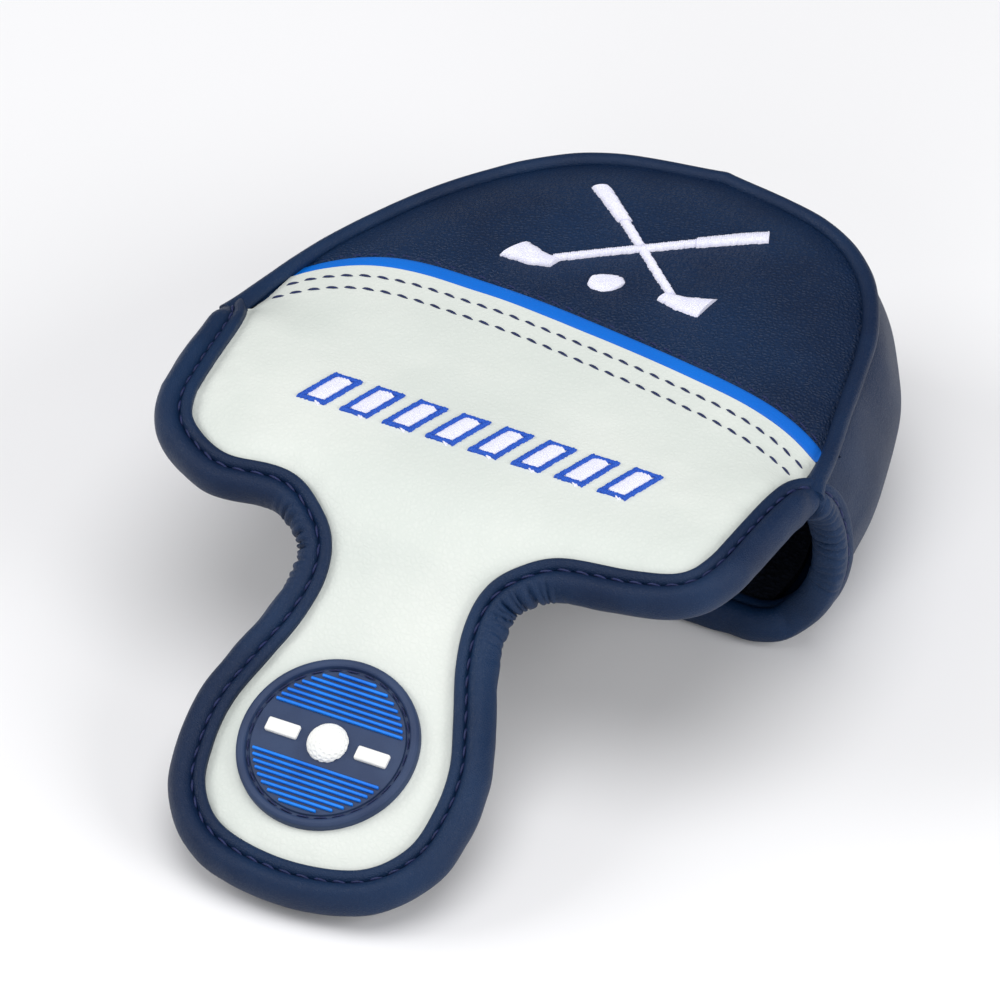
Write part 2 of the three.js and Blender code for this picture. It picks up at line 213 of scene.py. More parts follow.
NAVY_LEATHER = leather(
    "navy_leather", colour(5, 28, 59), colour(16, 44, 78),
    grain=2300, grain_depth=0.00008, roughness=0.42, crease_depth=0.00022, shine=0.26,
)
NAVY_PEBBLE = leather(
    "navy_pebble", colour(4, 27, 57), colour(12, 40, 74),
    grain=1150, grain_depth=0.00028, roughness=0.4, crease_depth=0.00018, shine=0.26,
)
WHITE_LEATHER = leather(
    "white_leather", colour(205, 211, 206), colour(217, 221, 216),
    grain=900, grain_depth=0.00004, roughness=0.52, crease_depth=0.0002, shine=0.35,
)
BLUE_LEATHER = leather(
    "blue_leather", colour(0, 97, 198), colour(0, 110, 212),
    grain=1500, grain_depth=0.00003, roughness=0.42, crease_depth=0.00004, shine=0.3,
)


def finished(piece, material):
    """Gives a piece its one material and smooth faces."""
    piece.data.materials.clear()
    piece.data.materials.append(material)
    for polygon in piece.data.polygons:
        polygon.use_smooth = True
    return piece


# ---- the leather skin that everything on top follows ---------------------------------------------------
# The top of the pouch is level and domed, with its seam all round the D. The flap leaves it at the mouth
# line, dips at the neck and slopes down to the tongue's tip on the table.
SEAM_HEIGHT = 43.6
DOME = 4.5
SKIN_SIDE = [
    (-114, 6.2), (-102, 9.6), (-84, 17.6), (-66, 26.4), (-54, 34), (-44, 42.6),
    (-34, 47), (-20, 48.2), (-6, 47.9), (8, 47.7),
]
POUCH_HALF = [(58.2, 0), (55.8, 17), (51.0, 33), (44.7, 48.6), (34.8, 62.8), (21.6, 71.8), (0, 76.4)]
WHITE_HALF = [
    (58.6, 2), (56.2, -9), (55, -22), (53.9, -31), (50.6, -36.2), (42, -38.6), (28, -40.4), (20.4, -44.3),
    (16.0, -48.6), (14.8, -54), (16.2, -61), (19.8, -70), (22.6, -78), (23.0, -86), (21.0, -94.2),
    (13.8, -100.6), (0, -102.9),
]


def flowing(points, count):
    """Evenly spaced points on a smooth curve through the given ones."""
    knots = np.asarray(points, float)
    padded = np.vstack([2 * knots[0] - knots[1], knots, 2 * knots[-1] - knots[-2]])
    t = np.linspace(0, 1, 25)[:-1, None]
    runs = []
    for a, b, c, d in zip(padded[:-3], padded[1:-2], padded[2:-1], padded[3:]):
        curve = 2 * b + (c - a) * t + (2 * a - 5 * b + 4 * c - d) * t**2 + (3 * b - a - 3 * c + d) * t**3
        runs.append(0.5 * curve)
    line = np.vstack([*runs, knots[-1:]])
    run = np.concatenate([[0], np.cumsum(np.linalg.norm(np.diff(line, axis=0), axis=1))])
    at = np.linspace(0, run[-1], count)
    return np.stack([np.interp(at, run, line[:, k]) for k in range(line.shape[1])], axis=1)


def mirrored(half):
    """A half outline with its mirror image, from the right side round to the left."""
    return list(half) + [(-x, *rest) for x, *rest in reversed(half[:-1])]


def eased(value):
    """0 at or below 0, 1 at or above 1 and a smooth rise between."""
    t = np.clip(value, 0, 1)
    return t * t * (3 - 2 * t)


def distance_to(line, x, y):
    """Distance in plan from points to the nearest of a line's points."""
    x, y = np.broadcast_arrays(x, y)
    flat = np.stack([x.ravel(), y.ravel()], axis=1)
    nearest = np.full(len(flat), 1e9)
    for start in range(0, len(line), 64):
        gaps = flat[:, None, :] - line[None, start : start + 64, :2]
        nearest = np.minimum(nearest, np.sqrt((gaps**2).sum(axis=2)).min(axis=1))
    return nearest.reshape(x.shape)


side_line = flowing(SKIN_SIDE, 400)
pouch_seam = flowing(mirrored(POUCH_HALF), 500)
pouch_right = pouch_seam[:250]
white_edge = flowing(mirrored(WHITE_HALF), 900)


def seam_half_width(y):
    """Half the width of the pouch between its top seams."""
    return np.interp(y, pouch_right[:, 1], pouch_right[:, 0])


def skin_height(x, y):
    """Height of the leather over the pouch, flap and tongue, before the seams pull it down."""
    x, y = np.broadcast_arrays(np.asarray(x, float), np.asarray(y, float))
    flap = np.interp(y, side_line[:, 0], side_line[:, 1])
    dome = SEAM_HEIGHT + DOME * (1 - np.exp(-distance_to(pouch_seam, x, y) / 9))
    return flap + (dome - flap) * eased((y + 9) / 15)


def sway(points):
    """The tongue leans slightly to the right as it lies, and the flap's left shoulder droops forward."""
    moved = points.copy()
    moved[..., 0] += eased((-50 - points[..., 1]) / 55) * 2.2
    moved[..., 1] -= 3.2 * np.exp(-(((points[..., 0] + 42) / 8) ** 2)) * eased((-30 - points[..., 1]) / 6)
    return moved


def pushed_right(points):
    """The stuffed pouch stands a little askew: its rear is pushed to the right."""
    moved = np.array(points, float)
    moved[:, 0] += eased((moved[:, 1] - 18) / 52) * 4.4
    return moved


def closed(top, bottom):
    """Points and faces of a closed body between two grids of points, rows by columns."""
    rows, columns = top.shape[:2]
    points = np.concatenate([top.reshape(-1, 3), bottom.reshape(-1, 3)])
    index = np.arange(rows * columns).reshape(rows, columns)
    corners = (index[:-1, :-1], index[:-1, 1:], index[1:, 1:], index[1:, :-1])
    faces = list(zip(*(corner.ravel() for corner in corners)))
    low = rows * columns
    faces += [(d + low, c + low, b + low, a + low) for a, b, c, d in faces]
    border = [*index[0, :], *index[1:, -1], *index[-1, -2::-1], *index[-2:0:-1, 0]]
    for a, b in zip(border, border[1:] + border[:1]):
        faces.append((b, a, a + low, b + low))
    return points, faces


def shell(name, top, bottom, material):
    """A closed piece between two grids of points in millimetres."""
    return made_mesh(name, *closed(top, bottom), material)


SHARP_TURN = math.radians(58)


def made_mesh(name, points, faces, material):
    """An object from points in millimetres, closed, facing outwards, smooth but for its sharp edges."""
    mesh = bpy.data.meshes.new(name)
    mesh.from_pydata(((pushed_right(points) + MOUTH) / 1000).tolist(), [], faces)
    tidy = bmesh.new()
    tidy.from_mesh(mesh)
    bmesh.ops.remove_doubles(tidy, verts=tidy.verts, dist=1e-7)
    bmesh.ops.recalc_face_normals(tidy, faces=tidy.faces)
    for edge in tidy.edges:
        edge.smooth = edge.calc_face_angle(0.0) < SHARP_TURN
    tidy.to_mesh(mesh)
    tidy.free()
    piece = bpy.data.objects.new(name, mesh)
    bpy.context.scene.collection.objects.link(piece)
    return finished(piece, material)


def facing(grid):
    """Unit normals of a grid of points, turned upwards."""
    along_rows = np.gradient(grid, axis=0)
    along_columns = np.gradient(grid, axis=1)
    normal = np.cross(along_rows, along_columns)
    normal /= np.maximum(np.linalg.norm(normal, axis=2, keepdims=True), 1e-9)
    return normal * np.sign(normal[..., 2].sum())


def ripples(grid, scale, seed):
    """Smooth noise from -1 to 1 at a grid's points."""
    places = grid.reshape(-1, grid.shape[-1])[:, :2]
    flat = [noise.noise(Vector((x / scale, y / scale, seed))) for x, y in places]
    return np.array(flat).reshape(grid.shape[:2])


# ---- crown panel ---------------------------------------------------------------------------------------
# Pebbled navy leather over thin foam, the rear part of the top. It is sewn into the top seam with the
# piping and along its front edge to the stripe.
STRIPE_FRONT = [(-66, 5), (-56, 13.6), (-40, 20.2), (-20, 20.4), (0, 18.8), (40, 13), (58, 7.2), (66, 3)]
STRIPE_WIDTH = 3.9
CROWN_COLUMNS = 121
CROWN_ROWS = 90
CROWN_PADDING = 3.8
stripe_front = flowing(STRIPE_FRONT, 300)
stripe_rear = stripe_front + np.array([0, STRIPE_WIDTH])


def stripe_y(x):
    """Where the stripe's front edge runs."""
    return np.interp(x, stripe_front[:, 0], stripe_front[:, 1])


def seam_dip(x, y, line, depth, reach):
    """How far a seam along a line pulls the leather down."""
    return depth * np.exp(-distance_to(line, x, y) / reach)


def crown_surface(grid):
    """Height of the crown's leather: pulled down at the stripe, softly uneven over its foam."""
    height = skin_height(grid[..., 0], grid[..., 1])
    height = height - seam_dip(grid[..., 0], grid[..., 1], stripe_rear, 0.9, 1.8)
    return height + ripples(grid, 14, 3.0) * 0.25 + ripples(grid, 4.5, 8.0) * 0.06


crown_rear = pouch_seam[(pouch_seam[:, 1] > stripe_y(pouch_seam[:, 0]) + STRIPE_WIDTH + 0.8)][::-1]
steps = np.arange(len(crown_rear))
rear_at = np.linspace(0, steps[-1], CROWN_COLUMNS)
crown_rear = np.stack([np.interp(rear_at, steps, crown_rear[:, k]) for k in (0, 1)], axis=1)
crown_front_x = np.linspace(crown_rear[0, 0], crown_rear[-1, 0], CROWN_COLUMNS)
front = np.stack([crown_front_x, stripe_y(crown_front_x) + STRIPE_WIDTH + 0.1], axis=1)
share = np.linspace(0, 1, CROWN_ROWS)[:, None, None]
plan = front[None] * (1 - share) + crown_rear[None] * share
crown = np.dstack([plan, crown_surface(plan)])
crown_panel = shell("crown_panel", crown, crown - facing(crown) * CROWN_PADDING, NAVY_PEBBLE)
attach(crown_panel, "pouch")
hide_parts("crown_panel", "top_foam")


# ---- accent stripe -------------------------------------------------------------------------------------
# A narrow strip of bright blue leather, folded under on both edges and sewn between the crown and the
# white leather. Its ends run under the piping.
STRIPE_THICKNESS = 1.4
STRIPE_SUNK = 0.2
STRIPE_FOLD = 0.35
UNDER_PIPING = 0.6
across_stripe = np.linspace(-0.12, 1.1, 12)[:, None]
stripe = np.zeros((12, 200, 3))
for _ in range(4):
    stripe[..., 1] = stripe_y(stripe[..., 0]) + across_stripe * STRIPE_WIDTH
    stripe[..., 0] = np.linspace(-1, 1, 200) * (seam_half_width(stripe[..., 1]) + UNDER_PIPING)
folded = STRIPE_SUNK + STRIPE_FOLD * (2 * across_stripe - 1) ** 4
stripe[..., 2] = skin_height(stripe[..., 0], stripe[..., 1]) - folded
accent_stripe = shell("accent_stripe", stripe, stripe - facing(stripe) * STRIPE_THICKNESS, BLUE_LEATHER)
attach(accent_stripe, "pouch")
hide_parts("accent_stripe")


# ---- white leather -------------------------------------------------------------------------------------
# One smooth panel from the stripe over the mouth and down the tongue, over foam. It is cut across the
# middle of the flap into two lengths that meet edge to edge, because each bends at one fold.
SPLIT = -29.0
UNDER_BINDING = 1.6
WHITE_COLUMNS = 141
WHITE_ROWS = 76
WHITE_PADDING = 2.6
edge_half = flowing(WHITE_HALF, 600)
along = np.gradient(edge_half, axis=0)
along /= np.linalg.norm(along, axis=1, keepdims=True)
tucked = edge_half + np.stack([-along[:, 1], along[:, 0]], axis=1) * UNDER_BINDING
tucked[-1, 0] = 0
column = np.linspace(-1, 1, WHITE_COLUMNS)


def white_half_width(y):
    """Half the width of the white leather, tucked under the binding in front and the piping behind."""
    flap = np.interp(-y, -tucked[:, 1], tucked[:, 0])
    return flap + (seam_half_width(y) - flap) * eased((y + 3) / 4)


def white_surface(grid):
    """The white leather over a grid, pulled down and finely wrinkled along its binding."""
    x, y = grid[..., 0], grid[..., 1]
    height = skin_height(x, y)
    ahead = eased((4 - y) / 6)
    height -= seam_dip(x, y, white_edge, 1.1, 2.6) * ahead
    wrinkle = ripples(grid, 3.2, 5.0) * np.exp(-distance_to(white_edge, x, y) / 6)
    height += wrinkle * 0.16 * ahead + ripples(grid, 11, 1.0) * 0.16
    return np.dstack([x, y, height])


def padded_length(name, grid, bodies, start, end):
    """A padded length of the white leather."""
    piece = shell(name, sway(grid), sway(grid - facing(grid) * WHITE_PADDING), WHITE_LEATHER)
    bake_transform(piece)
    return piece


def rear_length():
    """Rows from the split back to the stripe."""
    share = np.linspace(0, 1, WHITE_ROWS)[:, None]
    x = np.zeros((WHITE_ROWS, WHITE_COLUMNS))
    for _ in range(4):
        y = SPLIT + (stripe_y(x) - 0.1 - SPLIT) * share
        x = column * white_half_width(y)
    return np.dstack([x, y, np.zeros_like(x)])


def front_length():
    """Rows from the split forward to the tongue's tip."""
    ahead = tucked[tucked[:, 1] < SPLIT]
    rows = np.vstack([[white_half_width(SPLIT), SPLIT], ahead[::3], ahead[-1:]])
    rows[-1, 0] = 0.6
    x = rows[:, :1] * column
    return np.dstack([x, np.repeat(rows[:, 1:], WHITE_COLUMNS, axis=1), np.zeros_like(x)])


FLAP_BEND = ((0, 3, 0), (0, -17, 0))
TONGUE_BEND = ((0, -50, 0), (0, -68, 0))
rear_white = white_surface(rear_length())
front_white = white_surface(front_length())
white_rear = padded_length("white_leather_rear", rear_white, ("pouch", "flap"), *FLAP_BEND)
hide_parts("top_white_panel", "flap_panel")
white_front = padded_length("white_leather_front", front_white, ("flap", "tongue"), *TONGUE_BEND)
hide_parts("tongue_panel", "flap_foam", "tongue_foam")


# ---- flap binding and mouth binding --------------------------------------------------------------------
# A strip of navy leather folded round a soft cord: a flat inner strip, a stitched groove and a full roll.
# One length runs round the tongue and the flap's corners. The other starts there on each side, turns over
# at the mouth's corners and goes down the walls' front edges and along the sole.
ROLL = [
    (0.0, -0.6), (-0.12, 0.25), (0.12, 0.75), (0.7, 1.0), (1.5, 0.95), (2.2, 0.7), (2.65, 0.25), (2.9, -0.2),
    (3.15, 0.15), (3.6, 0.85), (4.4, 1.4), (5.6, 1.65), (6.9, 1.3), (8.0, 0.35), (8.8, -1.0), (9.1, -2.6),
    (8.8, -4.2), (7.9, -5.5), (6.6, -6.3), (5.2, -6.5), (4.0, -6.2), (3.1, -5.6), (2.6, -5.9), (1.4, -6.2),
    (0.4, -6.1), (0.0, -5.6), (0.0, -3.4),
]
ROLL_CENTRE = np.array([4.7, -2.4])
ROLL_SIZE = (0.81, 0.95)
GROOVE_OUT = 2.35
roll_shape = flowing(ROLL + ROLL[:1], 61)[:-1] * ROLL_SIZE


def framed(path, outward, upward):
    """Each station of a path with its tangent, outward and upward directions, all square to each other."""
    tangent = np.gradient(path, axis=0)
    tangent /= np.linalg.norm(tangent, axis=1, keepdims=True)
    out = outward - (outward * tangent).sum(axis=1, keepdims=True) * tangent
    out /= np.linalg.norm(out, axis=1, keepdims=True)
    up = np.cross(out, tangent)
    up *= np.sign((up * upward).sum(axis=1, keepdims=True))
    return tangent, out, up


def swept(name, path, out, up, profiles, material):
    """A closed section carried along a path. profiles holds one section for each station."""
    stations, around = profiles.shape[:2]
    points = path[:, None] + out[:, None] * profiles[..., :1] + up[:, None] * profiles[..., 1:2]
    index = np.arange(stations * around).reshape(stations, around)
    following = np.roll(index, -1, axis=1)
    faces = list(zip(index[:-1].ravel(), following[:-1].ravel(), following[1:].ravel(), index[1:].ravel()))
    faces += [tuple(index[0]), tuple(index[-1][::-1])]
    return made_mesh(name, points.reshape(-1, 3), faces, material)


def gathers(run, profiles, folds, seed):
    """Press creases across the roll. folds holds (place along the run, depth, width, slant)."""
    from_centre = profiles - ROLL_CENTRE
    reach = np.linalg.norm(from_centre, axis=2, keepdims=True)
    on_roll = eased((profiles[..., 0] - 3.0) / 3.0)
    press = np.zeros(profiles.shape[:2])
    for where, depth, width, slant in folds:
        across_roll = profiles[..., 1] * slant
        press += depth * np.exp(-(((run[:, None] - where - across_roll) / width) ** 2))
    around = range(profiles.shape[1])
    swell = np.array([[noise.noise(Vector((s / 5, k * 0.12, seed))) for k in around] for s in run])
    inside = eased(np.minimum(run, run[-1] - run) / 6)[:, None]
    change = (-np.minimum(press, 1.3) + swell * 0.22) * on_roll * inside
    return profiles + from_centre / np.maximum(reach, 1e-6) * change[..., None]


def run_of(path):
    """Distance travelled along a path at each of its points."""
    return np.concatenate([[0], np.cumsum(np.linalg.norm(np.diff(path, axis=0), axis=1))])


shoulder = float(np.interp(-SPLIT, -edge_half[:, 1], edge_half[:, 0]))
between = white_edge[white_edge[:, 1] <= SPLIT - 0.8]
front_edge = flowing(np.vstack([[shoulder, SPLIT], between[2:-2:6], [-shoulder, SPLIT]]), 620)
path = np.column_stack([front_edge, skin_height(front_edge[:, 0], front_edge[:, 1])])
slope = np.gradient(side_line[:, 1], side_line[:, 0])
tilt = np.interp(path[:, 1], side_line[:, 0], slope)
skin_up = np.column_stack([np.zeros(len(path)), -tilt, np.ones(len(path))])
tangent, out, up = framed(path, np.cross(np.gradient(path, axis=0), skin_up), skin_up)
if out[0, 0] < 0:
    out = -out
    up = np.cross(out, tangent)
    up *= np.sign((up * skin_up).sum(axis=1, keepdims=True))
front_run = run_of(path)
rng = np.random.default_rng(7)
NECK_Y = -47
folds = []
for side in (1, -1):
    miss = np.abs(path[:, 1] - NECK_Y) + (path[:, 0] * side < 0) * 1e3
    neck = front_run[np.argmin(miss)]
    at = neck - 15
    while at < neck + 17:
        strength = math.exp(-(((at - neck) / 10) ** 2))
        depth = (0.35 + rng.random()) * strength
        width = 0.35 + 0.35 * rng.random()
        slant = rng.uniform(-0.25, 0.35)
        folds.append((at, depth, width, slant))
        at += rng.uniform(1.5, 3.0)
front_profiles = gathers(front_run, np.repeat(roll_shape[None], len(path), axis=0), folds, 2.0)
front_path, front_out, front_up = path, out, up
flap_binding = swept("binding_flap", sway(path), out, up, front_profiles, NAVY_LEATHER)
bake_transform(flap_binding)
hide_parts("tongue_binding", "flap_binding_left", "flap_binding_right")

# The second length: from the flap's shoulders over the mouth's corners, down the walls and along the sole.
MOUTH_ROUTE = [
    # place                 outward               outer face
    (55.2, -19.5, 48.1, 1.0, 0.0, 0.0, 0.0, 0.0, 1.0),
    (55.9, -11.0, 48.0, 1.0, 0.0, -0.1, 0.1, 0.0, 1.0),
    (57.1, -4.8, 47.6, 0.95, -0.3, -0.2, 0.25, 0.1, 1.0),
    (59.6, -0.6, 46.6, 0.6, -0.75, -0.35, 0.6, 0.1, 0.8),
    (62.0, 2.8, 43.6, 0.25, -0.95, -0.15, 0.95, 0.1, 0.35),
    (63.8, 5.6, 38.6, 0.0, -1.0, 0.0, 1.0, 0.0, 0.1),
    (64.7, 7.6, 31.0, 0.0, -1.0, 0.0, 1.0, 0.0, 0.0),
    (64.6, 8.4, 22.0, -0.05, -1.0, 0.0, 1.0, 0.0, -0.1),
    (61.8, 8.8, 12.5, -0.1, -1.0, 0.0, 0.95, 0.0, -0.35),
    (56.2, 8.8, 4.8, -0.1, -1.0, 0.0, 0.7, 0.0, -0.75),
    (49.4, 7.3, 1.5, 0.0, -1.0, 0.0, 0.2, 0.0, -1.0),
    (40.0, 7.4, 0.9, 0.0, -1.0, 0.0, 0.0, 0.0, -1.0),
    (20.0, 7.8, 0.8, 0.0, -1.0, 0.0, 0.0, 0.0, -1.0),
    (0.0, 7.8, 0.8, 0.0, -1.0, 0.0, 0.0, 0.0, -1.0),
]
FLIP = np.array([-1, 1, 1, -1, 1, 1, -1, 1, 1])
join = np.concatenate([front_path[0], front_out[0], front_up[0]])
right_route = np.vstack([join, MOUTH_ROUTE])
route = flowing(np.vstack([right_route, right_route[-2::-1] * FLIP]), 640)
tangent, out, up = framed(route[:, :3], route[:, 3:6], route[:, 6:9])
from_end = np.minimum(np.arange(len(route)), np.arange(len(route))[::-1])
settled = eased(from_end / 22)[:, None]
nearest_end = np.where(np.arange(len(route)) < len(route) / 2, 0, -1)
out = out * settled + front_out[nearest_end] * (1 - settled)
up = up * settled + front_up[nearest_end] * (1 - settled)
mouth_run = run_of(route[:, :3])
at_mouth = eased((route[:, 1] + 9) / 9)[:, None]
mouth_profiles = np.repeat(roll_shape[None], len(route), axis=0)
raised = np.maximum(mouth_profiles[..., 1], 0)
mouth_profiles[..., 1] -= raised * 0.5 * at_mouth
mouth_profiles[..., 0] *= 1 - 0.1 * at_mouth
folds = []
for side in (1, -1):
    miss = np.linalg.norm(route[:, :3] - (59.6 * side, -0.6, 46.6), axis=1)
    corner = mouth_run[np.argmin(miss)]
    folds.append((corner + 1.5 * side, 1.5, 0.8, 0.1))
    for step in range(13):
        at = corner + side * (4.0 + step * 2.4 + rng.uniform(-0.5, 0.5))
        depth = (0.2 + 1.2 * rng.random()) * math.exp(-step / 8)
        width = 0.35 + 0.3 * rng.random()
        slant = rng.uniform(-0.3, 0.3)
        folds.append((at, depth, width, slant))
mouth_profiles = gathers(mouth_run, mouth_profiles, folds, 6.0)
mouth_binding = swept("binding_mouth", route[:, :3], out, up, mouth_profiles, NAVY_LEATHER)
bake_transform(mouth_binding)
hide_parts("mouth_binding")
mouth_path, mouth_out, mouth_up = route[:, :3], out, up


# ---- stitches ------------------------------------------------------------------------------------------
# Rows of twisted navy polyester thread: in the bindings' grooves, two ahead of the stripe and one behind it.
# Each stitch rises from its needle hole, lies along the leather and dives again.
def thread(name, dark, light, twist, roughness):
    made = Finish(name, Specular_IOR_Level=0.4)
    twist_shade_and_glint = made.noise(twist, 2.0, 0.7)
    drift = made.noise(320, 2.0)
    # The twist noise mixes the two colours along each strand, painting glints and shade on the twist; the
    # drift adds random tone.
    made.set("Base Color", made.mix(twist_shade_and_glint.between(0.3, 0.7) * 0.7 + drift * 0.3, dark, light))
    made.set("Roughness", twist_shade_and_glint * 0.2 + roughness)
    made.set("Normal", made.bump(twist_shade_and_glint, 0.00012, 0.9))
    return made.material


# The navy and blue threads' lighter colours are painted glints; the white thread's lavender darker colour is
# painted shade.
NAVY_THREAD = thread("navy_thread", colour(9, 18, 46), colour(28, 44, 100), 4200, 0.5)
BLUE_THREAD = thread("blue_thread", colour(4, 48, 150), colour(30, 98, 208), 4200, 0.45)
WHITE_THREAD = thread("white_thread", colour(206, 206, 236), colour(246, 246, 252), 4200, 0.42)
STITCH_ROUND = [0.35, 0.8, 1.0, 1.0, 0.8, 0.35]
STITCH_SIDES = 6


def value_at(values, run, where):
    """A row of values, such as points, at one place along a run."""
    return np.array([np.interp(where, run, values[:, k]) for k in range(3)])


def stitches(name, path, up, pitch, length, radius, material, lift=0.0, skew=0.12):
    """One stitch after another along a path, joined as one piece."""
    path = np.asarray(path, float)
    run = run_of(path)
    tangent = np.gradient(path, axis=0)
    tangent /= np.linalg.norm(tangent, axis=1, keepdims=True)
    count = int(run[-1] / pitch)
    points, faces = [], []
    rings = len(STITCH_ROUND)
    turn = np.linspace(0, 2 * math.pi, STITCH_SIDES, endpoint=False)
    for k in range(count):
        middle = (k + 0.5) * run[-1] / count
        spot, ahead, over = (value_at(values, run, middle) for values in (path, tangent, up))
        over = over - ahead * (over @ ahead)
        over /= np.linalg.norm(over)
        side = np.cross(ahead, over)
        ahead = ahead + side * skew
        base = len(points)
        for ring, share in enumerate(STITCH_ROUND):
            t = ring / (rings - 1) * 2 - 1
            rise = lift + radius * 0.9 * (1 - t**4) - radius * 0.5
            centre = spot + ahead * (t * length / 2) + over * rise
            for angle in turn:
                points.append(centre + (side * math.cos(angle) + over * math.sin(angle)) * radius * share)
        for ring in range(rings - 1):
            for s in range(STITCH_SIDES):
                a, b = base + ring * STITCH_SIDES + s, base + ring * STITCH_SIDES + (s + 1) % STITCH_SIDES
                faces.append((a, b, b + STITCH_SIDES, a + STITCH_SIDES))
        faces.append(tuple(base + s for s in reversed(range(STITCH_SIDES))))
        faces.append(tuple(base + (rings - 1) * STITCH_SIDES + s for s in range(STITCH_SIDES)))
    return made_mesh(name, np.array(points), faces, material)


def groove(path, out, up, profile_scale=1.0):
    """The bottom of a binding's groove."""
    return path + out * GROOVE_OUT * profile_scale + up * 0.18


BINDING_STITCH = {"pitch": 3.5, "length": 2.7, "radius": 0.3, "material": NAVY_THREAD}
flap_groove = sway(groove(front_path, front_out, front_up))
flap_row = stitches("stitches_flap_binding", flap_groove, front_up, **BINDING_STITCH)
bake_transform(flap_row)
mouth_groove = groove(mouth_path, mouth_out, mouth_up, 0.95)
mouth_row = stitches("stitches_mouth_binding", mouth_groove, mouth_up, **BINDING_STITCH)
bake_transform(mouth_row)
for name, ahead in (("stitches_top_rear", 3.7), ("stitches_top_front", 8.0)):
    x = np.linspace(-57.5, 57.5, 160)
    line = np.column_stack([x, stripe_y(x) - ahead - 0.3 * (x / 60) ** 2])
    keep = np.abs(line[:, 0]) < white_half_width(line[:, 1]) - 0.8
    line = flowing(line[keep][::4], 300)
    heights = white_surface(line[:, None, :])[..., 2]
    path = np.column_stack([line, heights])
    row = stitches(name, path, np.tile([0, 0, 1.0], (300, 1)), 3.5, 2.6, 0.27, NAVY_THREAD, 0.02)
    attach(row, "pouch")
x = np.linspace(-54.4, 55.4, 200)
y = stripe_y(x) + STRIPE_WIDTH + 1.0
path = np.column_stack([x, y, skin_height(x, y) - 0.55])
upright = np.tile([0, 0, 1.0], (200, 1))
crown_row = stitches("stitches_crown", path, upright, 3.2, 2.3, 0.18, NAVY_THREAD, -0.05)
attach(crown_row, "pouch")


# ---- piping --------------------------------------------------------------------------------------------
# A bias strip of the navy leather sewn round a cotton cord and caught in the seam between the top and the
# wall. Its ends flatten under the mouth binding.
PIPING_HALF = [(61.4, -3.0, 44.6), (60.3, 1.5, 44.6), (59.3, 8, 44.1)]
PIPING_SEAM = [(59.2, 8), (57.1, 17.3), (52.3, 33.6), (45.9, 49.4), (35.8, 64.0), (22.2, 73.3), (0, 77.8)]
PIPING_RADIUS = 1.6
seam_half = flowing(PIPING_SEAM, 60)
piping_half = PIPING_HALF + [(x, y, 43.9 - 0.4 * eased((y - 8) / 30)) for x, y in seam_half[4:]]
piping_path = flowing(mirrored(piping_half), 520)
centre_up = np.tile([0, 0, 1.0], (len(piping_path), 1))
sideways = np.cross(np.gradient(piping_path, axis=0), centre_up)
tangent, piping_out, piping_up = framed(piping_path, sideways, centre_up)
turn = np.linspace(0, 2 * math.pi, 20, endpoint=False)
tube = np.stack([np.cos(turn), np.sin(turn)], axis=1)
piping_run = run_of(piping_path)
thickness = PIPING_RADIUS + 0.1 * np.array([noise.noise(Vector((s / 9, 4.0, 0))) for s in piping_run])
end_run = np.minimum(piping_run, piping_run[::-1])
wide = 1 + 0.5 * np.exp(-end_run / 5)
sections = tube[None] * thickness[:, None, None] * np.stack([wide, np.ones_like(wide)], axis=1)[:, None, :]
piping = swept("piping", piping_path, piping_out, piping_up, sections, NAVY_LEATHER)
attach(piping, "pouch")
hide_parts("top_piping")


CORD = thread("cotton_cord", colour(196, 190, 178), colour(226, 222, 212), 1800, 0.75)
CORD_RADIUS = 0.55
cord_sections = np.repeat(tube[None] * CORD_RADIUS, len(piping_path), axis=0)
inner_cord = swept("cord_in_piping", piping_path, piping_out, piping_up, cord_sections, CORD)
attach(inner_cord, "pouch")
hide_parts("piping_cord")


# ---- side wall and its lining --------------------------------------------------------------------------
# One padded navy leather panel bent round the D, sewn to the top seam and to the sole. The stuffing swells
# it, and short pleats gather at its front edges. Inside is a knitted pile lining.
WALL_TOP = 43.4
WALL_FOOT = 0.7
WALL_THICKNESS = 4.6
WALL_STATIONS = 241
WALL_SWELL = 7.5


def pile(name):
    """Short dark knitted pile: soft tufts with matt fibres, with painted shade between the tufts."""
    made = Finish(name, Specular_IOR_Level=0.15)
    tufts = made.cells(1100, "F1")
    fibre = made.noise(5200, 3.0, 0.7)
    drift = made.noise(60, 3.0)
    # Away from each tuft's centre the colour darkens: painted shade between the tufts, with random drift in
    # tone.
    depth = tufts.between(0.0, 0.7) * 0.6 + drift * 0.4
    made.set("Base Color", made.mix(depth, colour(40, 48, 66), colour(15, 19, 30)))
    made.set("Roughness", fibre * 0.1 + 0.85)
    made.set("Normal", made.bump((1.0 - tufts) * 0.7 + fibre * 0.5, 0.0005, 1.0))
    return made.material


PILE = pile("pile_lining")


def wall_sheet(heights, offset, front_y, stations):
    """Points of an upright sheet round the D, at an offset from the seam line at each height."""
    grid = np.zeros((len(heights), stations, 3))
    right = flowing(POUCH_HALF, 300)
    for row, (z, out_by, start) in enumerate(zip(heights, offset, front_y)):
        kept = right[right[:, 1] > start]
        kept = np.vstack([[np.interp(start, right[:, 1], right[:, 0]), start], kept])
        knots = [tuple(point) for point in kept[::12] if point[0] > 5] + [POUCH_HALF[-1]]
        line = flowing(mirrored(knots), stations)
        step = np.gradient(line, axis=0)
        step /= np.linalg.norm(step, axis=1, keepdims=True)
        grid[row, :, :2] = line + np.stack([step[:, 1], -step[:, 0]], axis=1) * out_by
        grid[row, :, 2] = z
    return grid


def outwards(sheet):
    """Level unit directions away from the pouch's middle."""
    away = sheet - np.array([0, 30, 0])
    away[..., 2] = 0
    return away / np.linalg.norm(away, axis=2, keepdims=True)


